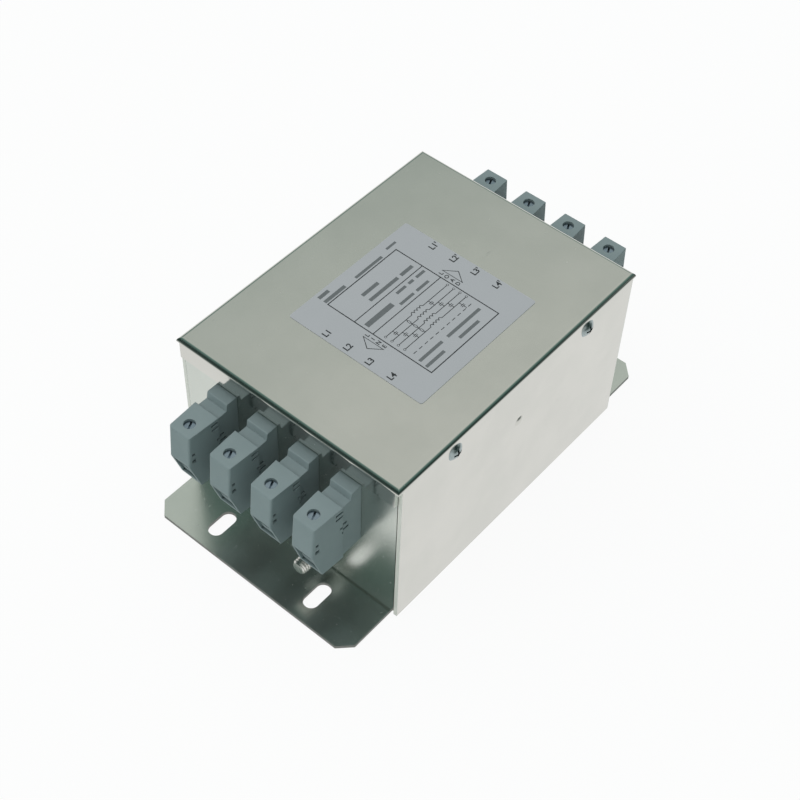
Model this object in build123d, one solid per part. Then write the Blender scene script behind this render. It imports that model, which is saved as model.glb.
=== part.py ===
from build123d import *
import os
from math import cos, sin, radians, sqrt, atan2, degrees

# Four-wire power line filter in a folded steel case, in millimetres.
# X runs from the line end (-X) to the load end (+X), Y across, Z up.
# The origin is the centre of the footprint, on the surface that the mounting plate stands on.

# Cover: one folded sheet with a top, two long sides and a short lip at each end
cover_length = 132.6
cover_width = 101.0
cover_top = 75.5
cover_sheet = 1.5
cover_bend = 1.8
cover_inner_bend = 0.4
lip_drop = 9.0
cover_foot_gap = 0.8
seam = 0.3

# Inner case: an open-topped folded box that carries the terminals and studs
case_side_fit = 0.2
case_sheet = 1.2
case_bend = 1.3
case_inner_bend = 0.3
lip_fit = 0.2
case_top_gap = 0.4
corner_relief = 1.0

# Mounting plate: a flat sheet under the case whose two ends are the slotted flanges
plate_width = 95.0
plate_sheet = 1.5
flange_reach = 23.9
flange_corner = 5.0
slot_width = 6.2
slot_length = 12.4
slot_from_wall = 12.4
slot_span_y = 47.5

# Cover screws and the press nuts they turn into
side_screw_span = 74.4
side_screw_drop = 6.1
side_screw_d = 4.0
side_screw_length = 9.0
side_head_d = 7.0
side_head_h = 1.5
side_cross_d = 3.85
side_cross_depth = 1.2
press_nut_pilot_d = 6.0
press_nut_d = 8.2
press_nut_h = 4.5
screw_hole_fit = 0.25
cross_arm_share = 0.22
thread_fit = 0.05

# Pressed dimple in the middle of each cover side
dimple_d = 5.0
dimple_h = 0.7
dimple_height = 51.4

# Earth studs with their washers and nuts
stud_d = 6.0
stud_reach = 15.2
stud_height = 15.5
stud_y = -17.4
stud_point = 0.7
stud_core_d = 4.9
stud_core_gap = 0.3
stud_head_d = 9.0
stud_head_h = 2.0
flat_washer_d = 12.0
flat_washer_t = 1.6
spring_washer_d = 10.8
spring_washer_t = 1.6
spring_washer_split = 1.2
washer_fit = 0.2
nut_flats = 10.0
nut_h = 5.0
nut_bevel_h = 0.5
nut_bevel_in = 0.9

# Terminal housings: sizes are measured out from the case wall and up from the ground
terminal_count = 4
terminal_pitch = 19.05
housing_bottom = 33.0
housing_top = 61.3
housing_plateau = 60.0
housing_ridge = 63.0
ridge_front = 4.8
ridge_round = 0.3
ridge_foot = 0.5
step_out = 10.0
front_top_out = 23.2
front_low_out = 24.5
front_low_height = 47.0
toe_out = 20.0
housing_width = 11.0
housing_front_width = 9.5
neck_width = 9.5
neck_shoulder = 0.6
edge_round = 0.8
entry_width = 7.6
entry_floor = 39.2
entry_roof = 46.0
entry_recess = 1.0
entry_recess_low = 34.8
screw_shaft_d = 4.4
screw_shaft_out = 18.2

# Where the housing passes through the case wall
window_width = 8.0
window_bottom = 36.4
window_top = 58.6
window_fit = 0.1
spigot_depth = 8.5
latch_length = 3.0
latch_height = 0.8
latch_gap = 0.2
latch_tall = 6.0
latch_root = 0.2

# Small moulded recesses in the housing's sides
side_slot_depth = 0.6
side_slot_length = 4.0
side_slot_width = 1.0
side_slots = ((11.3, 59.3), (11.3, 57.0), (9.3, 50.5), (8.5, 47.6))
eye_depth = 0.9
eye_out = 22.0
eye_small = 1.3
eye_small_height = 51.8
eye_large = 1.8
eye_large_height = 48.4

# Clamp cage, its screw and the current bar it grips
cage_front = 20.8
cage_width = 7.2
cage_length = 5.6
cage_side = 0.9
cage_floor = 1.0
cage_roof = 2.0
cage_inside = 7.0
cage_fit = 0.2
cage_corner = 0.5
clamp_screw_d = 4.0
clamp_head_d = 4.2
clamp_head_h = 3.0
clamp_head_sink = 1.0
clamp_slit_width = 0.8
clamp_slit_depth = 1.2
clamp_slit_turn = 25.0
bar_width = 5.0
bar_thick = 1.5
bar_fit = 0.1
bar_front_gap = 0.2
bar_inner_reach = 12.0
bar_bend = 1.2
tail_width = 2.4
tail_drop = 1.6

# Circuit board on four pillars over an insulating sheet
liner_t = 0.4
liner_gap = 0.6
board_end_gap = 6.4
board_side_gap = 4.6
board_t = 1.6
board_lift = 6.5
pillar_d = 6.0
pillar_inset_x = 5.0
pillar_inset_y = 4.5
board_screw_d = 3.0
board_screw_length = 6.0
board_head_d = 5.6
board_head_h = 2.0
board_cross_d = 2.8
board_cross_depth = 1.0
hole_fit = 0.2

# Common-mode choke: a ferrite ring in a moulded coat with four windings
core_outer_d = 56.0
core_inner_d = 34.0
core_h = 16.0
core_edge = 1.0
winding_t = 3.0
winding_angle = 72.0
winding_turns = 7
turn_groove = 0.8
turn_groove_depth = 1.1
winding_fit = 0.2
choke_base_t = 2.5
choke_base_d = 54.0
choke_lead_d = 2.4
separator_t = 1.6
separator_gap = 0.4

# Capacitors and discharge resistors on the board
x_cap_length = 26.5
x_cap_width = 11.0
x_cap_h = 20.0
x_cap_round = 0.8
x_cap_pitch = 28.0
x_cap_inset = 15.0
x_cap_lead_span = 22.5
x_cap_lead_d = 1.0
y_cap_length = 13.0
y_cap_width = 5.0
y_cap_h = 11.0
y_cap_inset = 5.0
y_cap_lead_span = 10.0
y_cap_lead_d = 0.8
resistor_d = 3.6
resistor_length = 9.0
resistor_edge = 0.9
resistor_x = 22.0
resistor_inset = 5.0
resistor_lead_d = 0.8
resistor_lead_out = 2.2
resistor_lift = 0.4

# Label on the cover's top
label_length = 63.4
label_width = 60.5
label_t = 0.15
label_corner = 1.0
label_x = -1.4
label_y = -1.9

# Places that follow from the sizes above
case_half = cover_length / 2 - cover_sheet - lip_fit
wall_inside = case_half - case_sheet
case_bottom = plate_sheet
floor_top = case_bottom + case_sheet
case_wall_top = cover_top - cover_sheet - case_top_gap
cover_side_inside = cover_width / 2 - cover_sheet
case_width = 2 * (cover_side_inside - case_side_fit)
slot_x = case_half + slot_from_wall
side_screw_z = cover_top - side_screw_drop
cage_back = cage_front - cage_length
cage_bottom = entry_floor
cage_h = cage_floor + cage_inside + cage_roof
cage_top = cage_bottom + cage_h
bar_top = cage_bottom + cage_floor + cage_inside - cage_fit
bar_bottom = bar_top - bar_thick
spigot_width = window_width - 2 * window_fit
board_length = 2 * (wall_inside - board_end_gap)
board_width = case_width - 2 * (case_sheet + board_side_gap)
pillar_span_x = board_length - 2 * pillar_inset_x
pillar_span_y = board_width - 2 * pillar_inset_y
x_cap_place = board_length / 2 - x_cap_inset
y_cap_place = board_width / 2 - y_cap_inset
resistor_y = board_width / 2 - resistor_inset
board_bottom = floor_top + board_lift
board_top = board_bottom + board_t
tail_bottom = board_bottom - tail_drop
choke_base_top = board_top + choke_base_t
winding_bottom = choke_base_top
core_bottom = winding_bottom + winding_t + winding_fit
resistor_pin = resistor_length / 2 + resistor_lead_out

ends = (("line", -1), ("load", 1))
terminal_places = [
    (n + 1, ((terminal_count - 1) / 2 - n) * terminal_pitch) for n in range(terminal_count)
]
slot_places = [(sx * slot_x, sy * slot_span_y / 2) for sx in (-1, 1) for sy in (-1, 1)]
side_screw_places = [(sx * side_screw_span / 2, sy) for sx in (-1, 1) for sy in (-1, 1)]
pillar_places = [
    (sx * pillar_span_x / 2, sy * pillar_span_y / 2) for sx in (-1, 1) for sy in (-1, 1)
]


def block(x0, x1, y0, y1, z0, z1):
    """A box between two corners."""
    size = Box(x1 - x0, y1 - y0, z1 - z0, align=(Align.MIN, Align.MIN, Align.MIN))
    return Pos(x0, y0, z0) * size


def post(d, z0, z1, x=0.0, y=0.0):
    """An upright cylinder from z0 to z1."""
    return Pos(x, y, z0) * Cylinder(d / 2, z1 - z0, align=(Align.CENTER, Align.CENTER, Align.MIN))


def rod_x(d, x0, x1, y, z):
    """A cylinder along X from x0 to x1."""
    rod = Cylinder(d / 2, x1 - x0, align=(Align.CENTER, Align.CENTER, Align.MIN))
    return Pos(x0, y, z) * Rot(0, 90, 0) * rod


def at_side(shape, x, side):
    """Put a piece drawn along +Z from the cover's outer face onto the side at +Y or -Y."""
    return Pos(x, side * cover_width / 2, side_screw_z) * Rot(-90 * side, 0, 0) * shape


def at_end(shape, sign, y=0.0):
    """Put a piece drawn outwards along +X from the case wall onto the end at +X or -X."""
    turn = 0 if sign > 0 else 180
    return Pos(sign * case_half, y, 0) * Rot(0, 0, turn) * shape


# Mounting plate

def mounting_plate():
    half = case_half + flange_reach
    outline = Rectangle(2 * half, plate_width)
    outline = chamfer(outline.vertices(), flange_corner)
    for x, y in slot_places:
        outline -= Pos(x, y) * SlotOverall(slot_length, slot_width)
    return extrude(outline, plate_sheet)


# Inner case

def stud_hole(sign):
    return rod_x(stud_d + 2 * thread_fit, sign * case_half - case_sheet * 2,
                 sign * case_half + case_sheet * 2, stud_y, stud_height)


def inner_case():
    half_y = case_width / 2
    case = block(-case_half, case_half, -half_y, half_y, case_bottom, case_wall_top)
    case = fillet(case.faces().sort_by(Axis.Z)[0].edges(), case_bend)
    hollow = block(-wall_inside, wall_inside, -half_y + case_sheet, half_y - case_sheet,
                   floor_top, case_wall_top + 1)
    hollow = fillet(hollow.faces().sort_by(Axis.Z)[0].edges(), case_inner_bend)
    case -= hollow
    for sx in (-1, 1):
        for sy in (-1, 1):
            x_in, x_seam = sorted((sx * (wall_inside - seam), sx * wall_inside))
            y_in, y_out = sorted((sy * (half_y - 2 * case_sheet), sy * (half_y + 1)))
            case -= block(x_in, x_seam, y_in, y_out, floor_top + corner_relief, case_wall_top + 1)
            case -= rod_x(2 * corner_relief, x_in - corner_relief, x_seam,
                          sy * half_y, floor_top + corner_relief)
    for end, sign in ends:
        case -= stud_hole(sign)
        for n, y in terminal_places:
            window = block(-2 * case_sheet, case_sheet, -window_width / 2, window_width / 2,
                           window_bottom, window_top)
            case -= at_end(window, sign, y)
    for x, side in side_screw_places:
        hole = post(press_nut_pilot_d + 2 * thread_fit, -cover_sheet - case_side_fit - 2 * case_sheet, 0)
        case -= at_side(hole, x, side)
    return case


# Cover

def dome(d, h):
    """A shallow spherical cap of diameter d and height h, standing on Z = 0."""
    ball = (d * d / 4 + h * h) / (2 * h)
    return Pos(0, 0, h - ball) * Sphere(ball) & post(d + 1, 0, h)


def dimple(side):
    """A dome pressed outwards, with the same hollow behind it."""
    outer = dome(dimple_d, dimple_h)
    inner = Pos(0, 0, -cover_sheet) * outer
    place = Pos(0, side * cover_width / 2, dimple_height) * Rot(-90 * side, 0, 0)
    return place * outer, place * inner


def cover():
    half_x, half_y = cover_length / 2, cover_width / 2
    skin = block(-half_x, half_x, -half_y, half_y, cover_foot_gap, cover_top)
    skin = fillet(skin.faces().sort_by(Axis.Z)[-1].edges(), cover_bend)
    hollow = block(-half_x + cover_sheet, half_x - cover_sheet, -cover_side_inside,
                   cover_side_inside, 0, cover_top - cover_sheet)
    hollow = fillet(hollow.faces().sort_by(Axis.Z)[-1].edges(), cover_inner_bend)
    skin -= hollow
    lip_bottom = cover_top - lip_drop
    side_end = half_x - cover_sheet - seam
    for sx in (-1, 1):
        x0, x1 = sorted((sx * side_end, sx * (half_x + 1)))
        skin -= block(x0, x1, -half_y - 1, half_y + 1, 0, lip_bottom)
        for sy in (-1, 1):
            y0, y1 = sorted((sy * cover_side_inside, sy * (half_y + 1)))
            skin -= block(x0, x1, y0, y1, lip_bottom - 1, cover_top - cover_bend)
    for side in (-1, 1):
        outer, inner = dimple(side)
        skin = skin + outer - inner
    for x, side in side_screw_places:
        hole = post(side_screw_d + 2 * screw_hole_fit, -2 * cover_sheet, cover_sheet)
        skin -= at_side(hole, x, side)
    return skin


# Cover screws and press nuts

def cross_recess(d, depth):
    bar = Box(d, cross_arm_share * d, depth, align=(Align.CENTER, Align.CENTER, Align.MAX))
    return bar + Rot(0, 0, 90) * bar


def cover_screws():
    screw = dome(side_head_d, side_head_h) + post(side_screw_d, -side_screw_length, 0)
    screw -= Pos(0, 0, side_head_h) * cross_recess(side_cross_d, side_cross_depth)
    return Compound(children=[at_side(screw, x, side) for x, side in side_screw_places])


def rivet_nuts():
    """Nuts pressed into the case wall from inside, flush with its outer face."""
    face = -cover_sheet - case_side_fit
    seat = face - case_sheet
    nut = post(press_nut_pilot_d, seat, face) + post(press_nut_d, seat - press_nut_h, seat)
    nut -= post(side_screw_d + 2 * thread_fit, seat - press_nut_h - 1, 0)
    return Compound(children=[at_side(nut, x, side) for x, side in side_screw_places])


# Earth studs, washers and nuts

def earth_stud(sign):
    """A headed stud, whose part in the nut is as thick as the thread's core."""
    nut_seat = flat_washer_t + spring_washer_t
    free_end = nut_seat + nut_h + stud_core_gap
    stud = rod_x(stud_d, free_end, stud_reach, 0, 0)
    stud = chamfer(stud.edges().sort_by(Axis.X)[-1], stud_point)
    stud += rod_x(stud_core_d, nut_seat, free_end, 0, 0)
    stud += rod_x(stud_d, -case_sheet, nut_seat, 0, 0)
    stud += rod_x(stud_head_d, -case_sheet - stud_head_h, -case_sheet, 0, 0)
    return at_end(Pos(0, 0, stud_height) * stud, sign, stud_y)


def earth_flat_washers():
    ring = rod_x(flat_washer_d, 0, flat_washer_t, 0, stud_height)
    ring -= rod_x(stud_d + 2 * washer_fit, -1, flat_washer_t + 1, 0, stud_height)
    return Compound(children=[at_end(ring, sign, stud_y) for end, sign in ends])


def earth_spring_washers():
    x0 = flat_washer_t
    x1 = x0 + spring_washer_t
    ring = rod_x(spring_washer_d, x0, x1, 0, stud_height)
    ring -= rod_x(stud_d + 2 * washer_fit, x0 - 1, x1 + 1, 0, stud_height)
    half = spring_washer_split / 2
    ring -= block(x0 - 1, x1 + 1, -half, half, stud_height, stud_height + spring_washer_d)
    return Compound(children=[at_end(ring, sign, stud_y) for end, sign in ends])


def earth_nuts():
    x0 = flat_washer_t + spring_washer_t
    hexagon = RegularPolygon(nut_flats / 2, 6, major_radius=False)
    nut = extrude(hexagon, nut_h)
    bevel = Cylinder(nut_flats / sqrt(3), nut_h, align=(Align.CENTER, Align.CENTER, Align.MIN))
    bevel = chamfer(bevel.edges().group_by(Axis.Z)[0] + bevel.edges().group_by(Axis.Z)[-1],
                    nut_bevel_h, nut_bevel_in)
    nut = nut & bevel
    nut -= post(stud_core_d + 2 * thread_fit, -1, nut_h + 1)
    nut = Pos(x0, 0, stud_height) * Rot(0, 90, 0) * nut
    return Compound(children=[at_end(nut, sign, stud_y) for end, sign in ends])


# Terminal housing: a moulded block with a clamp chamber, a wire funnel and a screw shaft

def housing_profile():
    """The housing's side view: x out from the wall, z up."""
    return make_face(Polyline(
        (0, housing_bottom), (toe_out, housing_bottom), (front_low_out, front_low_height),
        (front_top_out, housing_top), (step_out, housing_top), (step_out, housing_plateau),
        (ridge_front + ridge_foot, housing_plateau), (ridge_front, housing_ridge - ridge_round),
        (ridge_front - ridge_round, housing_ridge), (0, housing_ridge), (0, housing_bottom)))


def housing_plan():
    """The housing's top view: a straight neck, then a body that tapers to its front."""
    neck, wide, front = neck_width / 2, housing_width / 2, housing_front_width / 2
    reach = front_low_out + 1
    slope = (wide - front) / (front_low_out - step_out)
    tip = front - slope
    return make_face(Polyline(
        (0, -neck), (step_out - neck_shoulder, -neck), (step_out, -wide), (reach, -tip), (reach, tip),
        (step_out, wide), (step_out - neck_shoulder, neck), (0, neck), (0, -neck)))


def side_recesses():
    """Shallow slots and eyes moulded into both sides of the housing."""
    def pocket(x, z, dx, dz, depth):
        slope = (housing_width - housing_front_width) / 2 / (front_low_out - step_out)
        face = housing_width / 2 - slope * (x - step_out) if x > step_out else neck_width / 2
        one = block(x - dx / 2, x + dx / 2, face - depth, face + 2, z - dz / 2, z + dz / 2)
        return one + mirror(one, Plane.XZ)

    cuts = Part()
    for x, z in side_slots:
        cuts += pocket(x, z, side_slot_length, side_slot_width, side_slot_depth)
    cuts += pocket(eye_out, eye_small_height, eye_small, eye_small, eye_depth)
    cuts += pocket(eye_out, eye_large_height, eye_large, eye_large, eye_depth)
    return cuts


def entry_hollow():
    """A shallow tray sunk into the sloping lower front, which leads a wire up to the clamp."""
    lean = (front_low_out - toe_out) / (front_low_height - housing_bottom)
    low = toe_out + lean * (entry_recess_low - housing_bottom)
    high = toe_out + lean * (entry_roof - housing_bottom)
    tray = make_face(Polyline(
        (low - entry_recess, entry_recess_low), (low + 1, entry_recess_low),
        (high + 1, entry_roof), (high - entry_recess, entry_roof),
        (low - entry_recess, entry_recess_low)))
    return extrude(Plane.XZ * tray, entry_width / 2, both=True)


def terminal_housing():
    side = extrude(Plane.XZ * housing_profile(), housing_width, both=True)
    plan = Pos(0, 0, housing_bottom - 1) * extrude(housing_plan(), housing_ridge)
    body = side & plan
    front = body.faces().filter_by(lambda f: f.center().X > front_top_out - 0.5 and
                                   f.center().Z > front_low_height)
    body = fillet(front.edges(), edge_round)
    half = entry_width / 2
    body -= block(cage_back - cage_fit, cage_front + cage_fit, -half, half,
                  cage_bottom - cage_fit, cage_top + cage_fit)
    body -= block(cage_front, front_low_out + 1, -half, half, entry_floor, entry_roof)
    body -= entry_hollow()
    body -= post(screw_shaft_d, cage_bottom + 1, housing_top + 1, screw_shaft_out)
    spigot = block(-case_sheet - spigot_depth, 0, -spigot_width / 2, spigot_width / 2,
                   window_bottom + window_fit, window_top - window_fit)
    body += spigot
    back = -case_sheet - latch_gap
    root = spigot_width / 2 - latch_root
    wedge = make_face(Polyline((back, root), (back, root + latch_root + latch_height),
                               (back - latch_length, root), (back, root)))
    middle = (window_bottom + window_top) / 2
    wedge = Pos(0, 0, middle - latch_tall / 2) * extrude(wedge, latch_tall)
    body += wedge
    body += mirror(wedge, Plane.XZ)
    slot_half = bar_width / 2 + bar_fit
    body -= block(-case_sheet - spigot_depth - 1, cage_back, -slot_half, slot_half,
                  bar_bottom - bar_fit, bar_top + bar_fit)
    return body - side_recesses()


# Clamp cage, clamp screw and current bar

def clamp_cage():
    cage = block(cage_back, cage_front, -cage_width / 2, cage_width / 2, cage_bottom, cage_top)
    cage = fillet(cage.edges().filter_by(Axis.X), cage_corner)
    inner = cage_width / 2 - cage_side
    cage -= block(cage_back - 1, cage_front + 1, -inner, inner, cage_bottom + cage_floor,
                  cage_top - cage_roof)
    return cage - post(clamp_screw_d + 2 * thread_fit, cage_top - cage_roof - 1, cage_top + 1,
                       screw_shaft_out)


def clamp_screw():
    head_top = housing_top - clamp_head_sink
    screw = post(clamp_head_d, head_top - clamp_head_h, head_top, screw_shaft_out)
    slit = Pos(screw_shaft_out, 0, head_top) * Rot(0, 0, clamp_slit_turn) * Box(
        clamp_head_d + 1, clamp_slit_width, 2 * clamp_slit_depth)
    screw -= slit
    return screw + post(clamp_screw_d, bar_top, head_top - clamp_head_h, screw_shaft_out)


def current_bar():
    """One copper strip from the clamp, through the wall and down to the board."""
    x_front = cage_front - bar_front_gap
    x_back = -bar_inner_reach
    half = bar_width / 2
    strip = block(x_back, x_front, -half, half, bar_bottom, bar_top)
    leg = block(x_back, x_back + bar_thick, -half, half, board_top, bar_top)
    bar = strip + leg
    bend = bar.edges().filter_by(Axis.Y).sort_by(lambda e: e.center().X - e.center().Z)[0]
    bar = fillet(bend, bar_bend)
    return bar + block(x_back, x_back + bar_thick, -tail_width / 2, tail_width / 2,
                       tail_bottom, board_top)


# Insulating sheet, pillars, board and board screws

def insulating_sheet():
    sheet = block(-wall_inside + liner_gap, wall_inside - liner_gap,
                  -case_width / 2 + case_sheet + liner_gap, case_width / 2 - case_sheet - liner_gap,
                  floor_top, floor_top + liner_t)
    for x, y in pillar_places:
        sheet -= post(pillar_d + 2 * hole_fit, floor_top - 1, floor_top + liner_t + 1, x, y)
    return sheet


def board_pillars():
    group = []
    for x, y in pillar_places:
        pillar = post(pillar_d, floor_top, board_bottom, x, y)
        group.append(pillar - post(board_screw_d + 2 * thread_fit, floor_top + 1, board_bottom + 1, x, y))
    return Compound(children=group)


def board_screws():
    group = []
    for x, y in pillar_places:
        screw = post(board_head_d, board_top, board_top + board_head_h, x, y)
        screw -= Pos(x, y, board_top + board_head_h) * cross_recess(board_cross_d, board_cross_depth)
        group.append(screw + post(board_screw_d, board_top - board_screw_length, board_top, x, y))
    return Compound(children=group)


def choke_lead_places():
    r = core_outer_d / 2 + winding_fit + winding_t / 2
    spread = winding_angle / 2 - degrees(atan2(choke_lead_d, r))
    return [(r, 45 + 90 * k + s * spread, k) for k in range(4) for s in (-1, 1)]


def x_cap_places():
    return [(end, n + 1, sign * x_cap_place, (1 - n) * x_cap_pitch)
            for end, sign in ends for n in range(3)]


def circuit_board():
    board = block(-board_length / 2, board_length / 2, -board_width / 2, board_width / 2,
                  board_bottom, board_top)
    holes = [(x, y, board_screw_d) for x, y in pillar_places]
    for r, a, k in choke_lead_places():
        holes.append((r * cos(radians(a)), r * sin(radians(a)), choke_lead_d))
    for end, n, x, y in x_cap_places():
        for s in (-1, 1):
            holes.append((x, y + s * x_cap_lead_span / 2, x_cap_lead_d))
    for side in (-1, 1):
        for s in (-1, 1):
            holes.append((s * y_cap_lead_span / 2, side * y_cap_place, y_cap_lead_d))
    for x, y in resistor_places():
        for s in (-1, 1):
            holes.append((x + s * resistor_pin, y, resistor_lead_d))
    for x, y, d in holes:
        board -= post(d + 2 * hole_fit, board_bottom - 1, board_top + 1, x, y)
    for end, sign in ends:
        for n, y in terminal_places:
            slit = block(-bar_inner_reach - hole_fit, -bar_inner_reach + bar_thick + hole_fit,
                         -tail_width / 2 - hole_fit, tail_width / 2 + hole_fit,
                         board_bottom - 1, board_top + 1)
            board -= at_end(slit, sign, y)
    return board


# Common-mode choke

def choke_core():
    ring = post(core_outer_d, core_bottom, core_bottom + core_h)
    ring -= post(core_inner_d, core_bottom - 1, core_bottom + core_h + 1)
    return chamfer(ring.edges().filter_by(GeomType.CIRCLE), core_edge)


def winding_section(inner_step, outer_step):
    """The section of a sleeve round the core, in the XZ plane: outer outline less inner one."""
    r0, r1 = core_inner_d / 2, core_outer_d / 2
    z0, z1 = core_bottom, core_bottom + core_h
    mid = ((r0 + r1) / 2, (z0 + z1) / 2)
    outer = RectangleRounded(r1 - r0 + 2 * outer_step, z1 - z0 + 2 * outer_step, core_edge + 1)
    inner = Rectangle(r1 - r0 + 2 * inner_step, z1 - z0 + 2 * inner_step)
    return Plane.XZ * (Pos(*mid) * (outer - inner))


def choke_winding(k):
    middle = 45 + 90 * k
    sleeve = revolve(winding_section(winding_fit, winding_fit + winding_t), Axis.Z, winding_angle)
    sleeve = Rot(0, 0, middle - winding_angle / 2) * sleeve
    deep = winding_fit + winding_t - turn_groove_depth
    outline = winding_section(deep, winding_fit + winding_t + 1)
    groove = extrude(outline, turn_groove / 2, both=True)
    for n in range(1, winding_turns):
        a = middle - winding_angle / 2 + winding_angle * n / winding_turns
        sleeve -= Rot(0, 0, a) * groove
    for r, a, which in choke_lead_places():
        if which == k:
            sleeve += post(choke_lead_d, tail_bottom, winding_bottom + winding_t / 2,
                           r * cos(radians(a)), r * sin(radians(a)))
    return sleeve


def choke_base():
    return post(choke_base_d, board_top, choke_base_top)


def choke_separator():
    """A cross of insulating board that stands in the ring between the windings."""
    reach = core_inner_d / 2 - separator_gap
    z1 = core_bottom + core_h + winding_t
    fin = block(-reach, reach, -separator_t / 2, separator_t / 2, choke_base_top, z1)
    return fin + Rot(0, 0, 90) * fin


# Capacitors and resistors

def x_capacitor(x, y):
    can = block(x - x_cap_width / 2, x + x_cap_width / 2, y - x_cap_length / 2,
                y + x_cap_length / 2, board_top, board_top + x_cap_h)
    can = fillet(can.edges().filter_by(Axis.Z), x_cap_round)
    for s in (-1, 1):
        can += post(x_cap_lead_d, tail_bottom, board_top, x, y + s * x_cap_lead_span / 2)
    return can


def y_capacitor(side):
    y = side * y_cap_place
    can = block(-y_cap_length / 2, y_cap_length / 2, y - y_cap_width / 2, y + y_cap_width / 2,
                board_top, board_top + y_cap_h)
    can = fillet(can.edges().filter_by(Axis.Z), x_cap_round)
    for s in (-1, 1):
        can += post(y_cap_lead_d, tail_bottom, board_top, s * y_cap_lead_span / 2, y)
    return can


def resistor_places():
    return [(sx * resistor_x, sy * resistor_y) for sx in (-1, 1) for sy in (-1, 1)]


def discharge_resistor(x, y):
    z = board_top + resistor_lift + resistor_d / 2
    body = rod_x(resistor_d, x - resistor_length / 2, x + resistor_length / 2, y, z)
    body = chamfer(body.edges().filter_by(GeomType.CIRCLE), resistor_edge)
    reach = resistor_pin + resistor_lead_d / 2
    body += rod_x(resistor_lead_d, x - reach, x + reach, y, z)
    for s in (-1, 1):
        body += post(resistor_lead_d, tail_bottom, z, x + s * resistor_pin, y)
    return body


# Label

def label():
    sheet = RectangleRounded(label_length, label_width, label_corner)
    return Pos(label_x, label_y, cover_top) * extrude(sheet, label_t)


parts = {
    "mounting_plate": mounting_plate(),
    "inner_case": inner_case(),
    "cover": cover(),
    "label": label(),
    "cover_screws": cover_screws(),
    "rivet_nuts": rivet_nuts(),
    "earth_flat_washers": earth_flat_washers(),
    "earth_spring_washers": earth_spring_washers(),
    "earth_nuts": earth_nuts(),
    "insulating_sheet": insulating_sheet(),
    "board_pillars": board_pillars(),
    "board_screws": board_screws(),
    "circuit_board": circuit_board(),
    "choke_core": choke_core(),
    "choke_base": choke_base(),
    "choke_separator": choke_separator(),
}
housing, cage, bar, clamp = terminal_housing(), clamp_cage(), current_bar(), clamp_screw()
clamp_group = []
for end, sign in ends:
    parts[f"earth_stud_{end}"] = earth_stud(sign)
    for n, y in terminal_places:
        parts[f"{end}_terminal_{n}"] = at_end(housing, sign, y)
        parts[f"{end}_clamp_cage_{n}"] = at_end(cage, sign, y)
        parts[f"{end}_current_bar_{n}"] = at_end(bar, sign, y)
        clamp_group.append(at_end(clamp, sign, y))
parts["clamp_screws"] = Compound(children=clamp_group)
for k in range(4):
    parts[f"choke_winding_{k + 1}"] = choke_winding(k)
for end, n, x, y in x_cap_places():
    parts[f"x_capacitor_{end}_{n}"] = x_capacitor(x, y)
for n, side in enumerate((1, -1)):
    parts[f"y_capacitor_{n + 1}"] = y_capacitor(side)
for n, (x, y) in enumerate(resistor_places()):
    parts[f"discharge_resistor_{n + 1}"] = discharge_resistor(x, y)

os.makedirs("parts", exist_ok=True)
for name, shape in parts.items():
    export_step(shape, f"parts/{name}.step")
print(len(parts), "parts")
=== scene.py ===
from math import radians

import bpy
import numpy as np
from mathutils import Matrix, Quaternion, Vector


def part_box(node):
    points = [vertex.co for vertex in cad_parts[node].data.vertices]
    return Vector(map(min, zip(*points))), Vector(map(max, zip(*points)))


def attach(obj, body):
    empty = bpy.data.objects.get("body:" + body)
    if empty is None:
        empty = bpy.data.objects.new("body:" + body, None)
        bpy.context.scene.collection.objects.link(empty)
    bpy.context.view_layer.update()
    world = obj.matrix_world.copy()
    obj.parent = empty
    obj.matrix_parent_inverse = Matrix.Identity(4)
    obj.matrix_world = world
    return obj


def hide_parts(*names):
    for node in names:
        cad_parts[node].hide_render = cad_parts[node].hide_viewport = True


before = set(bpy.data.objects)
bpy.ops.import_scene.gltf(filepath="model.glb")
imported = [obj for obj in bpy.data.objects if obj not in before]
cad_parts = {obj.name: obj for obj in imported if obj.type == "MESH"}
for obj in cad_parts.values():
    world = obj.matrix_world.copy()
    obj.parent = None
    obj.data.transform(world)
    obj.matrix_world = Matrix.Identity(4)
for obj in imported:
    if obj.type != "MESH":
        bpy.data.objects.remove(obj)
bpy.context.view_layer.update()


# Mounting plate
# A flat strip of tin-plated sheet steel under the case, blanked with four slots. Its faces are
# bright rolled tin, and its cut edges are dull and a little torn.

MM = 0.001


class Value:
    """A socket's value in a material; sums on it add the maths nodes that work them out."""

    def __init__(self, finish, socket):
        self.finish, self.socket = finish, socket

    def maths(self, operation, a, b):
        return self.finish.node("ShaderNodeMath", {"operation": operation}, {0: a, 1: b})

    def __add__(self, other):
        return self.maths("ADD", self, other)

    def __sub__(self, other):
        return self.maths("SUBTRACT", self, other)

    def __rsub__(self, other):
        return self.maths("SUBTRACT", other, self)

    def __mul__(self, other):
        return self.maths("MULTIPLY", self, other)

    def __truediv__(self, other):
        return self.maths("DIVIDE", self, other)

    def __gt__(self, other):
        return self.maths("GREATER_THAN", self, other)

    def __lt__(self, other):
        return self.maths("LESS_THAN", self, other)

    def __abs__(self):
        return self.maths("ABSOLUTE", self, 0.0)

    def __or__(self, other):
        """The larger of two masks."""
        return self.maths("MAXIMUM", self, other)

    __radd__, __rmul__ = __add__, __mul__


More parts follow.
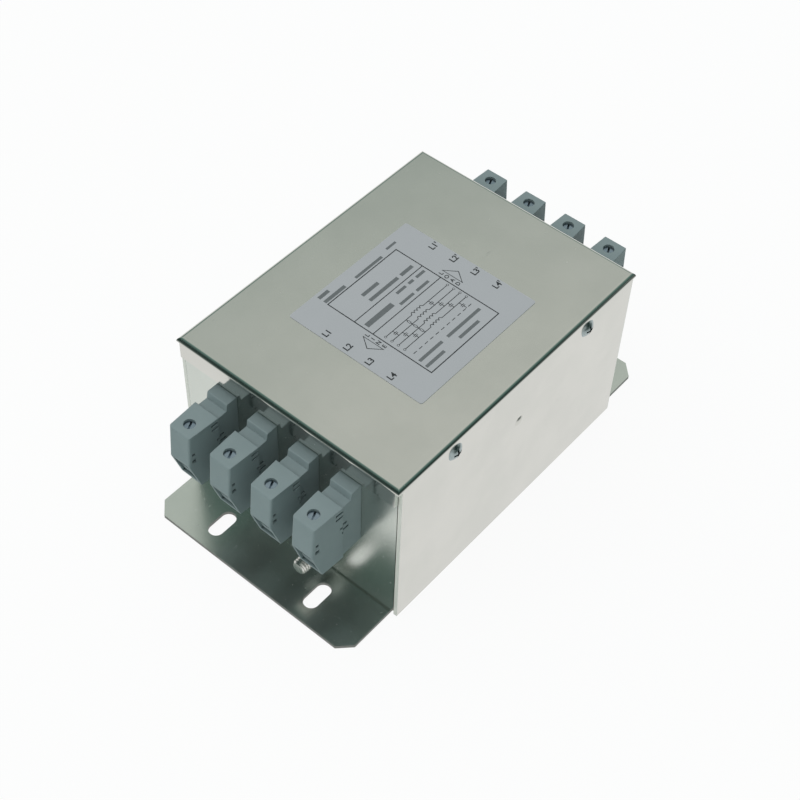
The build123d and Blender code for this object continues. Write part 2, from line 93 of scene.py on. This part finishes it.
class Finish:
    """One finish: a tree of nodes and the shader that it feeds."""

    def __init__(self, name, shader="ShaderNodeBsdfPrincipled", **constants):
        self.material = bpy.data.materials.new(name)
        self.material.use_nodes = True
        self.tree = self.material.node_tree
        self.tree.nodes.clear()
        constants = {key.replace("_", " "): value for key, value in constants.items()}
        self.surface = self.node(shader, {}, constants)
        self.node("ShaderNodeOutputMaterial", {}, {"Surface": self.surface})

    def node(self, kind, settings, sockets, output=0):
        """A node of one type: its settings first, then the values or links of its sockets."""
        made = self.tree.nodes.new(kind)
        for name, value in settings.items():
            setattr(made, name, value)
        for name, value in sockets.items():
            if isinstance(value, Value):
                self.tree.links.new(value.socket, made.inputs[name])
            else:
                made.inputs[name].default_value = value
        return Value(self, made.outputs[output]) if made.outputs else made

    def feed(self, **links):
        """Link values that change over the surface to the shader's own sockets."""
        shader = self.surface.socket.node
        for name, value in links.items():
            self.tree.links.new(value.socket, shader.inputs[name.replace("_", " ")])

    def place(self, stretch=(1, 1, 1), turn=(0, 0, 0)):
        """The point on the object, in metres, turned and stretched."""
        point = self.node("ShaderNodeTexCoord", {}, {}, "Object")
        return self.node("ShaderNodeMapping", {}, {"Vector": point, "Rotation": turn, "Scale": stretch})

    def axis(self, source, which):
        """One component of a vector, by its letter."""
        return self.node("ShaderNodeSeparateXYZ", {}, {"Vector": source}, "XYZ".index(which))

    def noise(self, size, detail=3.0, rough=0.55, where=None, bend=0.0):
        """Cloudy values round 0.5 whose lumps are about size millimetres across."""
        return self.node("ShaderNodeTexNoise", {}, {
            "Vector": where or self.place(), "Scale": 1 / (size * MM), "Detail": detail,
            "Roughness": rough, "Distortion": bend})

    def window(self, value, low, high):
        """0 below low, 1 above high, and smooth between."""
        return self.node("ShaderNodeMapRange", {"interpolation_type": "SMOOTHSTEP"},
                         {"Value": value, "From Min": low, "From Max": high})

    def mix(self, share, first, second):
        """The first colour where share is 0 and the second where it is 1."""
        first, second = [c if isinstance(c, Value) else (*c, 1.0) for c in (first, second)]
        return self.node("ShaderNodeMix", {"data_type": "RGBA"}, {0: share, 6: first, 7: second}, 2)

    def hollow(self, reach):
        """1 on open faces, and towards 0 in corners and recesses under reach millimetres across."""
        return self.node("ShaderNodeAmbientOcclusion", {"samples": 6}, {"Distance": reach * MM}, "AO")

    def relief(self, height, depth, over=None):
        """The surface normal after the height, 0 to 1, stands up by depth millimetres."""
        sockets = {"Height": height, "Distance": depth * MM, "Strength": 1.0}
        if over:
            sockets["Normal"] = over
        return self.node("ShaderNodeBump", {}, sockets)


def dress(finish, *names):
    """Give CAD nodes a finish through their own material slots."""
    for name in names:
        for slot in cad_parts[name].material_slots:
            slot.material = finish.material


TORN_TONES = ((0.10, 0.11, 0.10), (0.30, 0.31, 0.29))
SCUFF_TONE = (0.42, 0.43, 0.41)


def tin_plate(name, edge, rough, tin_tones, cut_tones=TORN_TONES, dull=0.0):
    """Bright rolled tin.

    edge(finish) is up to 1 on the blanked edges and 0 on the faces. The faces and the edges
    each lie between two tones, and dull is how far a coarse burr takes the edges' metal look away.
    """
    tin = Finish(name)
    cloud = tin.noise(26, 4.0, 0.6)
    grain = tin.noise(1.1, 2.0, 0.5)
    rolled = tin.noise(2.0, 3.0, 0.6, tin.place((0.06, 1, 1)))
    scuffs = tin.noise(3.0, 4.0, 0.7, tin.place((0.3, 1.6, 1), (0, 0, radians(35))), 0.4)
    scuffs = tin.window(scuffs, 0.69, 0.77)
    specks = tin.window(tin.noise(0.9, 2.0, 0.7), 0.70, 0.76)
    cut = edge(tin)
    torn = tin.noise(0.5, 2.0, 0.6, tin.place((1, 1, 0.15)))
    face = tin.mix(tin.window(cloud, 0.3, 0.7), *tin_tones)
    face = tin.mix(scuffs * 0.25, face, SCUFF_TONE)
    wave = tin.relief(tin.noise(45, 1.0, 0.4), 0.05)
    wave = tin.relief(grain, 0.0022, wave)
    wave = tin.relief(rolled, 0.0012, wave)
    tin.feed(Base_Color=tin.mix(cut, face, tin.mix(torn, *cut_tones)), Metallic=1 - dull * cut,
             Roughness=rough + 0.05 * cloud + 0.10 * scuffs + 0.20 * specks + 0.28 * cut,
             Normal=tin.relief(torn * cut, 0.08, wave))
    return tin


def slope_of(finish, which):
    """How squarely the face looks along an axis, 0 to 1."""
    normal = finish.node("ShaderNodeNewGeometry", {}, {}, "Normal")
    return abs(finish.axis(normal, which))


def plate_edge(finish):
    """1 on the upright rims of the strip and its slots."""
    return slope_of(finish, "Z") < 0.5


SATIN_TONES = ((0.605, 0.642, 0.600), (0.645, 0.677, 0.635))
dress(tin_plate("plate_tin", plate_edge, 0.21, SATIN_TONES), "mounting_plate")


# Inner case
# A folded, open-topped box of the same tin plate that stands on the plate and carries the
# terminals and studs. Its windows and holes are punched, so their edges are dull.

WALL_X, WALL_Y = 64.59, 48.6


def case_edge(finish):
    """One half on the punched rims, which lie between the case's outer faces, and 0 elsewhere."""
    point = finish.place()
    between_ends = abs(finish.axis(point, "X")) < WALL_X * MM
    between_sides = abs(finish.axis(point, "Y")) < WALL_Y * MM
    return (slope_of(finish, "X") < 0.5) * between_sides * between_ends * 0.5


dress(tin_plate("case_tin", case_edge, 0.23, SATIN_TONES), "inner_case")


# Insulating sheet
# A sheet of pale pressboard laid on the case floor under the circuit board.

board_paper = Finish("pressboard", Specular_IOR_Level=0.3)
fibres = board_paper.noise(0.8, 4.0, 0.7, board_paper.place((1, 0.3, 1)), 1.0)
board_paper.feed(Base_Color=board_paper.mix(fibres, (0.62, 0.55, 0.40), (0.80, 0.74, 0.60)),
                 Roughness=0.75 + 0.15 * fibres, Normal=board_paper.relief(fibres, 0.03))
dress(board_paper, "insulating_sheet")


# Circuit board with its pillars and screws
# Green glass-fibre board on four round zinc-plated pillars, held by cross-recess screws.

board_glass = Finish("glass_board", Coat_Roughness=0.2)
weave = board_glass.noise(0.9, 2.0, 0.5, board_glass.place((1, 1, 1), (0, 0, radians(45))))
board_glass.feed(Base_Color=board_glass.mix(weave, (0.012, 0.075, 0.028), (0.020, 0.115, 0.040)),
                 Roughness=0.32 + 0.12 * weave, Coat_Weight=0.4 + 0.2 * weave,
                 Normal=board_glass.relief(weave, 0.01))
dress(board_glass, "circuit_board")


def plated(name, low, high, rough, size=1.5):
    """Plated steel whose colour wanders between low and high."""
    metal = Finish(name, Metallic=1.0)
    cloud = metal.noise(size, 4.0, 0.65)
    nicks = metal.window(metal.noise(size * 0.4, 3.0, 0.7), 0.62, 0.72)
    metal.feed(Base_Color=metal.mix(cloud, low, high), Roughness=rough + 0.12 * cloud + 0.12 * nicks,
               Normal=metal.relief(nicks, -0.015, metal.relief(cloud, 0.01)))
    return metal


zinc = plated("bright_zinc", (0.47, 0.50, 0.52), (0.68, 0.70, 0.70), 0.18)
dress(zinc, "board_pillars", "board_screws", "rivet_nuts")


# Choke
# A coated ferrite ring on a moulded base, with four windings of enamelled copper wire and a
# cross of insulating board between them.

coat = Finish("ring_coat", Coat_Roughness=0.15)
speckle = coat.noise(0.7, 2.0, 0.6)
coat.feed(Base_Color=coat.mix(speckle, (0.010, 0.060, 0.035), (0.020, 0.095, 0.055)),
          Roughness=0.35 + 0.15 * speckle, Coat_Weight=0.3 + 0.3 * speckle,
          Normal=coat.relief(speckle, 0.04))
dress(coat, "choke_core")

enamel = Finish("enamelled_wire", Metallic=1.0, Coat_Roughness=0.08)
streak = enamel.noise(1.8, 3.0, 0.6)
enamel.feed(Base_Color=enamel.mix(streak, (0.42, 0.13, 0.045), (0.62, 0.25, 0.095)),
            Roughness=0.22 + 0.15 * streak, Coat_Weight=0.5 + 0.3 * streak,
            Normal=enamel.relief(streak, 0.03))
dress(enamel, *[f"choke_winding_{n}" for n in range(1, 5)])

black = Finish("black_moulding")
pore = black.noise(0.4, 2.0, 0.6)
black.feed(Base_Color=black.mix(pore, (0.010, 0.010, 0.011), (0.022, 0.022, 0.024)),
           Roughness=0.45 + 0.15 * pore, Normal=black.relief(pore, 0.01))
dress(black, "choke_base", "choke_separator")


# Capacitors and resistors
# Box capacitors in pale plastic cans, two earth capacitors in a blue coat, and four discharge
# resistors in a brown coat. All stand on the board on tinned leads.

def coated(name, low, high, rough, lead_height):
    """A coat on the body, and bare tinned wire below lead_height metres."""
    skin = Finish(name)
    cloud = skin.noise(3.0, 3.0, 0.6)
    lead = skin.axis(skin.place(), "Z") < lead_height
    body = skin.mix(cloud, low, high)
    skin.feed(Base_Color=skin.mix(lead, body, (0.62, 0.61, 0.58)), Metallic=lead,
              Roughness=rough + 0.1 * cloud - 0.1 * lead, Normal=skin.relief(cloud, 0.02))
    return skin


board_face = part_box("circuit_board")[1].z
dress(coated("can_plastic", (0.52, 0.48, 0.36), (0.58, 0.54, 0.42), 0.35, board_face),
      *[f"x_capacitor_{end}_{n}" for end in ("line", "load") for n in range(1, 4)])
dress(coated("blue_coat", (0.02, 0.09, 0.32), (0.03, 0.13, 0.40), 0.25, board_face),
      "y_capacitor_1", "y_capacitor_2")
dress(coated("brown_coat", (0.36, 0.22, 0.12), (0.44, 0.28, 0.16), 0.35, board_face),
      *[f"discharge_resistor_{n}" for n in range(1, 5)])


# Terminals
# Four grey moulded housings at each end, pushed through windows in the case wall. Each holds a
# steel clamp cage, a slotted screw and a copper bar that runs in to the board.

ends = [(end, n) for end in ("line", "load") for n in range(1, 5)]
polyamide = Finish("grey_polyamide", Specular_IOR_Level=0.2)
flow = polyamide.noise(9, 3.0, 0.6)
spark = polyamide.noise(0.22, 2.0, 0.6)
skin = polyamide.mix(flow, (0.203, 0.258, 0.266), (0.247, 0.306, 0.313))
# Painted shade: ambient occlusion within 1.2 mm takes the housing's colour towards near black in corners,
# slots and recesses.
outside_painted_shade = polyamide.window(polyamide.hollow(1.2), 0.15, 0.65)
worn_edge = polyamide.node("ShaderNodeBevel", {"samples": 4}, {"Radius": 0.35 * MM})
polyamide.feed(Base_Color=polyamide.mix(outside_painted_shade, (0.018, 0.032, 0.032), skin),
               Roughness=0.48 + 0.12 * spark, Normal=polyamide.relief(spark, 0.012, worn_edge))
dress(polyamide, *[f"{end}_terminal_{n}" for end, n in ends])
dress(plated("cage_zinc", (0.40, 0.43, 0.46), (0.58, 0.61, 0.63), 0.28),
      *[f"{end}_clamp_cage_{n}" for end, n in ends])
dress(plated("tinned_copper", (0.58, 0.42, 0.30), (0.70, 0.56, 0.44), 0.25, 4),
      *[f"{end}_current_bar_{n}" for end, n in ends])
dress(plated("clamp_screw_zinc", (0.22, 0.28, 0.35), (0.36, 0.43, 0.49), 0.20, 2.5), "clamp_screws")


# Earth studs with washers and nuts
# A headed stud of tinned steel through each end wall, with a rolled thread, and on it a flat
# washer, a split spring washer and a hexagon nut.

STUD_RADIUS, STUD_THREAD, STUD_PITCH = 3.0, 0.55, 1.0
STUD_CORE = STUD_RADIUS - STUD_THREAD
STUD_SIDES, RINGS_PER_PITCH = 48, 12
STUD_END, CREST_WIDTH = 15.2, 1.15
# Both lists give the distance past the wall's outer face and the radius there: the head inside
# the case with its neck, and then the thread, which is down to its core where the nut sits.
STUD_HEAD = ((-3.2, 4.2), (-3.0, 4.5), (-1.4, 4.5), (-1.2, 4.3), (-1.2, STUD_RADIUS), (-0.02, STUD_RADIUS))
STUD_SHANK = ((0, STUD_RADIUS), (3.2, STUD_RADIUS), (3.21, STUD_CORE), (8.49, STUD_CORE),
              (8.5, STUD_RADIUS), (14.5, STUD_RADIUS), (STUD_END, 2.3))


def lathe(name, rings):
    """Join rings of points, an array of rings by sides by 3, and close each end on its middle."""
    count, sides = rings.shape[:2]
    middles = rings[[0, -1]].mean(axis=1)
    points = np.vstack([rings.reshape(-1, 3), middles])
    ring, side = np.meshgrid(np.arange(count - 1), np.arange(sides), indexing="ij")
    here = (ring * sides + side).ravel()
    over = (ring * sides + (side + 1) % sides).ravel()
    quads = np.stack([here, over, over + sides, here + sides], axis=1)
    turn = np.arange(sides)
    step = (turn + 1) % sides
    last = (count - 1) * sides
    first_cap = np.stack([step, turn, np.full(sides, count * sides)], axis=1)
    last_cap = np.stack([last + turn, last + step, np.full(sides, count * sides + 1)], axis=1)
    mesh = bpy.data.meshes.new(name)
    mesh.from_pydata(points.tolist(), [], quads.tolist() + first_cap.tolist() + last_cap.tolist())
    mesh.validate()
    return mesh


def piece(name, mesh, finish, slot, *replaced):
    """A new piece of the object: its mesh, its finish and the nodes that it stands for."""
    made = bpy.data.objects.new(name, mesh)
    bpy.context.scene.collection.objects.link(made)
    mesh.materials.append(finish.material)
    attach(made, "root")
    if replaced:
        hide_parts(*replaced)
    return made


def stud_rings(wall, y, z, sign):
    """Rings along a threaded stud.

    The radius is the smaller of the stud's outline and the thread. The thread is the core plus
    its depth times a triangle wave with its crests cut flat, whose phase is the distance in
    pitches minus the share of a turn, so it winds up a helix.
    """
    head, shank = np.array(STUD_HEAD), np.array(STUD_SHANK)
    along = np.arange(0, STUD_END, STUD_PITCH / RINGS_PER_PITCH)
    along = np.concatenate([head[:, 0], along, [STUD_END]])
    turn = np.linspace(0, 2 * np.pi, STUD_SIDES, endpoint=False)
    s, a = np.meshgrid(along, turn, indexing="ij")
    wave = 2 * np.abs((s / STUD_PITCH - a / (2 * np.pi)) % 1.0 - 0.5)
    thread = STUD_CORE + STUD_THREAD * np.minimum(CREST_WIDTH * wave, 1.0)
    radius = np.minimum(np.interp(s, *shank.T), thread)
    radius[:len(head)] = head[:, 1:]
    x = sign * (wall + s * MM)
    return np.stack([x, y + sign * radius * MM * np.cos(a), z + radius * MM * np.sin(a)], axis=-1)


tinned = plated("tinned_thread", (0.58, 0.58, 0.55), (0.74, 0.74, 0.71), 0.16)
end_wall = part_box("inner_case")[1].x
for end, sign in (("line", -1), ("load", 1)):
    low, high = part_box(f"earth_stud_{end}")
    rings = stud_rings(end_wall, (low.y + high.y) / 2, (low.z + high.z) / 2, sign)
    piece(f"threaded_stud_{end}", lathe(f"threaded_stud_{end}", rings), tinned, "stud_steel",
          f"earth_stud_{end}")
dress(zinc, "earth_flat_washers", "earth_spring_washers", "earth_nuts")


# Cover
# One sheet of tin plate folded over the case, with a lip at each end and a small dome pressed
# out of each side. The sheared ends of its sides and lips are dull.

SIDE_INNER, LIP_INNER, LIP_FOOT, BEND_FOOT = 48.99, 64.4, 67.0, 73.7
BRIGHT_TONES = ((0.625, 0.625, 0.590), (0.665, 0.660, 0.625))
SHEARED_TONES = ((0.70, 0.70, 0.64), (0.84, 0.84, 0.78))


def cover_edge(finish):
    """1 on the sheared rims of the sides and lips, all of them below the bends round the top."""
    point = finish.place()
    x, y, z = [finish.axis(point, which) for which in "XYZ"]
    side_end = (slope_of(finish, "X") > 0.5) * (abs(y) > SIDE_INNER * MM)
    lip_end = (slope_of(finish, "Y") > 0.5) * (abs(x) > LIP_INNER * MM)
    lip_foot = (slope_of(finish, "Z") > 0.5) * (z < LIP_FOOT * MM)
    return (side_end | lip_end | lip_foot) * (z < BEND_FOOT * MM)


dress(tin_plate("cover_tin", cover_edge, 0.085, BRIGHT_TONES, SHEARED_TONES, 1.0), "cover")


# Cover screws
# Pan-head steel screws with a cross recess, zinc plated, two in each side of the cover.

dress(plated("cover_screw_zinc", (0.26, 0.32, 0.33), (0.46, 0.52, 0.52), 0.16), "cover_screws")


# Label
# A rectangle of silver-grey polyester film stuck on the cover's top.

film = Finish("label_film", Specular_IOR_Level=0.35)
haze = film.noise(14, 3.0, 0.6)
film.feed(Base_Color=film.mix(haze, (0.398, 0.412, 0.432), (0.424, 0.438, 0.458)),
          Roughness=0.42 + 0.1 * haze, Normal=film.relief(film.noise(0.5, 2.0), 0.004))
dress(film, "label")


# Print on the label
# Black ink: a frame, a four-wire circuit in plain symbols, and the line and load marks beside
# it. Plain grey bars stand in the rows.

# All in millimetres. The label lies a little off the cover's middle, and the ink's top stands
# 0.015 above the film.
PRINT_ORIGIN = (-1.0, -1.0)
INK_TOP, INK_THICK, LETTER_WEIGHT = 75.665, 0.02, 0.025
ink_points, ink_faces = [], []


def add_ink(points, faces):
    """Lay more ink, its faces given by the numbers of its own points."""
    start = sum(len(p) for p in ink_points)
    ink_points.append(np.asarray(points, float))
    ink_faces.extend([[start + i for i in face] for face in faces])


def stroke(path, width=0.30, closed=False):
    """A ribbon along a path: at each point, half the width to each side along the mean normal."""
    path = np.asarray(path, float)
    if closed:
        path = np.vstack([path, path[:1]])
    legs = np.diff(path, axis=0)
    legs /= np.linalg.norm(legs, axis=1)[:, None]
    before, after = np.vstack([legs[:1], legs]), np.vstack([legs, legs[-1:]])
    if closed:
        before[0], after[-1] = legs[-1], legs[0]
    mean = before + after
    mean /= np.linalg.norm(mean, axis=1)[:, None]
    reach = width / 2 / np.maximum((mean * after).sum(axis=1), 0.4)
    side = np.stack([-mean[:, 1], mean[:, 0]], axis=1) * reach[:, None]
    n = len(path)
    add_ink(np.vstack([path - side, path + side]),
            [(i, i + 1, n + i + 1, n + i) for i in range(n - 1)])


def lettering(text, u, v, size):
    """A generic mark set in the built-in face, centred on (u, v), as a flat mesh."""
    curve = bpy.data.curves.new("mark", "FONT")
    curve.body, curve.size, curve.align_x, curve.align_y = text, size, "CENTER", "CENTER"
    curve.resolution_u, curve.offset = 3, LETTER_WEIGHT * size
    holder = bpy.data.objects.new("mark", curve)
    bpy.context.scene.collection.objects.link(holder)
    bpy.context.view_layer.update()
    mesh = bpy.data.meshes.new_from_object(holder)
    corners = np.empty(3 * len(mesh.vertices))
    mesh.vertices.foreach_get("co", corners)
    add_ink(corners.reshape(-1, 3)[:, :2] + (u, v), [list(face.vertices) for face in mesh.polygons])
    bpy.data.objects.remove(holder)
    bpy.data.meshes.remove(mesh)


BORDER = [(-18.9, 22.9), (18.1, 22.9), (17.9, -24.7), (-19.1, -24.7)]
stroke(BORDER, 0.42, closed=True)
for v in (10.4, 1.8):
    stroke([(-18.9, v), (18.0, v)], 0.36)
for n, v in enumerate((13.8, 4.1, -5.8, -15.8)):
    lettering(f"L{n + 1}", -29.3, v, 3.4)
    lettering(f"L{n + 1}'", 28.8, v, 3.4)
for word, u, top in (("LINE", -20.7, 2.8), ("LOAD", 19.7, 2.9)):
    for n, letter in enumerate(word):
        lettering(letter, u, top - 2.6 * n, 2.3)
for base, tip in ((-22.0, -25.4), (21.2, 24.6)):
    stroke([(base, 3.6), (tip, -1.1), (base, -5.6)], 0.32, closed=True)

WIRES = [-2.4 - 2.9 * n for n in range(4)]
EARTH = -14.6
LINE_END, LOAD_END = -16.6, 16.2
COIL_HALF, COIL_TURN, COIL_HEIGHT, RING_RADIUS = 3.0, 1.5, 0.8, 0.45
along = np.linspace(-COIL_HALF, COIL_HALF, 33)
coil = np.stack([along, COIL_HEIGHT * np.abs(np.sin(np.pi * along / COIL_TURN))], axis=1)
turn = np.linspace(0, 2 * np.pi, 12, endpoint=False)
ring = RING_RADIUS * np.stack([np.cos(turn), np.sin(turn)], axis=1)
for v in WIRES:
    stroke([(LINE_END, v), (-COIL_HALF, v)])
    stroke([(COIL_HALF, v), (LOAD_END, v)])
    stroke(coil + (0, v))
    for u in (-17.1, 16.7):
        stroke(ring + (u, v), 0.18, closed=True)


def condenser(u, top, foot, half_gap=0.3, half_plate=0.9):
    """Two short plates across a line from top to foot."""
    mid = (top + foot) / 2
    stroke([(u, top), (u, mid + half_gap)])
    stroke([(u, mid - half_gap), (u, foot)])
    for v in (mid + half_gap, mid - half_gap):
        stroke([(u - half_plate, v), (u + half_plate, v)], 0.26)


def resistor(u, top, foot, lead=0.8, half_width=0.4):
    """A narrow box in a line from top to foot."""
    high, low = top - lead, foot + lead
    left, right = u - half_width, u + half_width
    stroke([(u, top), (u, high)])
    stroke([(left, high), (right, high), (right, low), (left, low)], 0.2, closed=True)
    stroke([(u, low), (u, foot)])


for n, (top, foot) in enumerate(zip(WIRES, WIRES[1:])):
    condenser(-13.4 + 1.9 * n, top, foot)
    condenser(6.0 + 1.9 * n, top, foot)
    resistor(-6.2, top, foot)
condenser(12.6, WIRES[3], EARTH)
for n in range(11):
    dash = LINE_END + 3.0 * n
    stroke([(dash, EARTH), (dash + 1.7, EARTH)])


def printed(name, finish):
    """All the ink laid since the last call as one piece, a flat mesh with a thin wall."""
    points = np.vstack(ink_points) + PRINT_ORIGIN
    points = np.column_stack([points, np.full(len(points), INK_TOP)]) * MM
    mesh = bpy.data.meshes.new(name)
    mesh.from_pydata(points.tolist(), [], ink_faces)
    ink_points.clear()
    ink_faces.clear()
    made = piece(name, mesh, finish, "label_film")
    wall = made.modifiers.new("ink thickness", "SOLIDIFY")
    wall.thickness, wall.offset = INK_THICK * MM, -1


ink = Finish("black_ink")
fade = ink.noise(1.2, 3.0, 0.7)
ink.feed(Base_Color=ink.mix(fade, (0.012, 0.014, 0.018), (0.036, 0.040, 0.045)), Roughness=0.4 + 0.2 * fade)
printed("label_print", ink)

# Each row: its left end, its place up the label, the lengths of its bars and their height.
BAR_GAP = 1.6
ROWS = [(-18.9, 27.2, (5.2,), 1.5), (-18.9, 24.4, (10.8,), 1.5), (-2.6, 24.3, (14.4,), 1.2),
        (15.8, 25.6, (5.2,), 1.0), (-7.6, 16.7, (8.6,), 1.5), (-7.6, 13.1, (15.2, 6.4), 1.5),
        (-17.6, 6.0, (14.0,), 2.2), (1.3, 8.3, (5.0, 2.6, 4.6), 1.2), (-1.9, 3.9, (7.4, 6.6), 1.2),
        (-17.8, -18.3, (12.2,), 1.3), (-2.7, -18.3, (18.0,), 1.3), (-18.3, -21.7, (9.8,), 1.3),
        (-0.3, -21.7, (10.8,), 1.3)]
for u, v, words, height in ROWS:
    for length in words:
        stroke([(u, v), (u + length, v)], height)
        u += length + BAR_GAP
grey_ink = Finish("grey_ink")
tone = grey_ink.noise(0.5, 3.0, 0.8, grey_ink.place((1, 0.4, 1)))
grey_ink.feed(Base_Color=grey_ink.mix(tone, (0.09, 0.10, 0.105), (0.17, 0.185, 0.195)),
              Roughness=0.4 + 0.2 * tone)
printed("label_rows", grey_ink)


# Floor
# A pale matt floor that keeps the object's soft shadow. The camera sees it white, and so does
# the metal, apart from two dark cards beyond the object that darken the metal near its bends.

FLOOR_HALF = 4.0
floor_mesh = bpy.data.meshes.new("floor")
floor_corners = [(x * FLOOR_HALF, y * FLOOR_HALF, 0) for x, y in ((-1, -1), (1, -1), (1, 1), (-1, 1))]
floor_mesh.from_pydata(floor_corners, [], [(0, 1, 2, 3)])
floor = bpy.data.objects.new("floor", floor_mesh)
bpy.context.scene.collection.objects.link(floor)
paint = Finish("floor_paint", "ShaderNodeMixShader")
by_camera, by_metal, by_glass = [paint.node("ShaderNodeLightPath", {}, {}, f"Is {kind} Ray")
                                 for kind in ("Camera", "Glossy", "Transmission")]
mirrored = by_metal + by_glass
matt = paint.node("ShaderNodeBsdfDiffuse", {}, {"Color": (0.76, 0.80, 0.79, 1)})
spot = paint.place()
reach = paint.node("ShaderNodeVectorMath", {"operation": "LENGTH"}, {0: spot}, "Value")
CARDS = ((0.36, -0.93, 0), (-0.87, 0.49, 0))


def on_card(card):
    """1 within 22 degrees of the card's direction along the floor, 0 beyond 42 degrees."""
    facing = paint.node("ShaderNodeVectorMath", {"operation": "DOT_PRODUCT"}, {0: spot, 1: card}, "Value")
    return paint.window(facing / reach, np.cos(radians(42)), np.cos(radians(22)))


carded = paint.window(reach, 0.12, 0.32) * mirrored * sum(on_card(card) for card in CARDS)
pale = paint.mix(mirrored, (1, 1, 1), (0.955, 0.955, 0.945))
glow = paint.node("ShaderNodeEmission", {}, {"Color": paint.mix(carded, pale, (0.06, 0.09, 0.08))})
mixer = paint.surface.socket.node
for place, source in enumerate(((by_camera + mirrored) * 0.93, matt, glow)):
    paint.tree.links.new(source.socket, mixer.inputs[place])
floor_mesh.materials.append(paint.material)


# Studio
# One wide soft light overhead. The metal sees a dim, greenish room with a pale panel overhead,
# one more on the camera's side, and a pale band at the horizon that the two dark cards break.

class Room(Finish):
    """The world's own tree of nodes, made with the same calls as a finish."""

    def __init__(self, world):
        world.use_nodes = True
        self.tree = world.node_tree
        self.tree.nodes.clear()


bpy.context.scene.world = bpy.data.worlds.new("studio")
room = Room(bpy.context.scene.world)
way = room.node("ShaderNodeTexCoord", {}, {}, "Generated")


def towards(direction, near, far):
    """1 within near degrees of a direction, 0 beyond far degrees, and smooth between."""
    aim = Vector(direction).normalized()
    facing = room.node("ShaderNodeVectorMath", {"operation": "DOT_PRODUCT"}, {0: way, 1: aim}, "Value")
    return room.window(facing, np.cos(radians(far)), np.cos(radians(near)))


OVERHEAD_PANEL, CAMERA_PANEL, LAMP = (0.397, 0.145, 0.906), (-0.45, -0.60, 0.66), (-0.25, 0.40, 0.88)
CARD_HEIGHT = 0.28
mirrored_room = room.mix(towards(OVERHEAD_PANEL, 5, 78), (0.026, 0.050, 0.044), (0.150, 0.270, 0.240))
mirrored_room = room.mix(towards(OVERHEAD_PANEL, 5, 40), mirrored_room, (0.680, 0.700, 0.662))
cards = sum(towards((x, y, CARD_HEIGHT), 17, 30) for x, y, _ in CARDS)
horizon = (1 - room.window(room.axis(way, "Z"), 0.16, 0.46)) * (1 - cards)
pale_parts = horizon | towards(CAMERA_PANEL, 12, 50)
mirrored_room = room.mix(pale_parts, mirrored_room, (0.600, 0.630, 0.610))
lit = towards(LAMP, 10, 90)
light = room.node("ShaderNodeCombineXYZ", {}, {
    "X": 0.17 + 1.14 * lit, "Y": 0.24 + 1.09 * lit, "Z": 0.23 + 1.09 * lit})
by_camera, by_metal, by_glass = [room.node("ShaderNodeLightPath", {}, {}, f"Is {kind} Ray")
                                 for kind in ("Camera", "Glossy", "Transmission")]
colour = room.mix(by_metal + by_glass, light, mirrored_room)
colour = room.mix(by_camera, colour, (1, 1, 1))
shell = room.node("ShaderNodeBackground", {}, {"Color": colour})
room.node("ShaderNodeOutputWorld", {}, {"Surface": shell})


# Camera
# Above the line end's near corner, with a long lens, as the photograph was taken.

lens = bpy.data.cameras.new("camera")
lens.lens, lens.sensor_width = 70.03, 36.0
camera = bpy.data.objects.new("camera", lens)
bpy.context.scene.collection.objects.link(camera)
sight = Vector((0.50381, 0.40137, -0.76490))
camera.location = (-0.298628, -0.234411, 0.473672)
camera.rotation_mode = "QUATERNION"
camera.rotation_quaternion = sight.to_track_quat("-Z", "Y") @ Quaternion((0, 0, 1), radians(2.42))
bpy.context.scene.camera = camera
bpy.context.scene.view_settings.view_transform = "Standard"
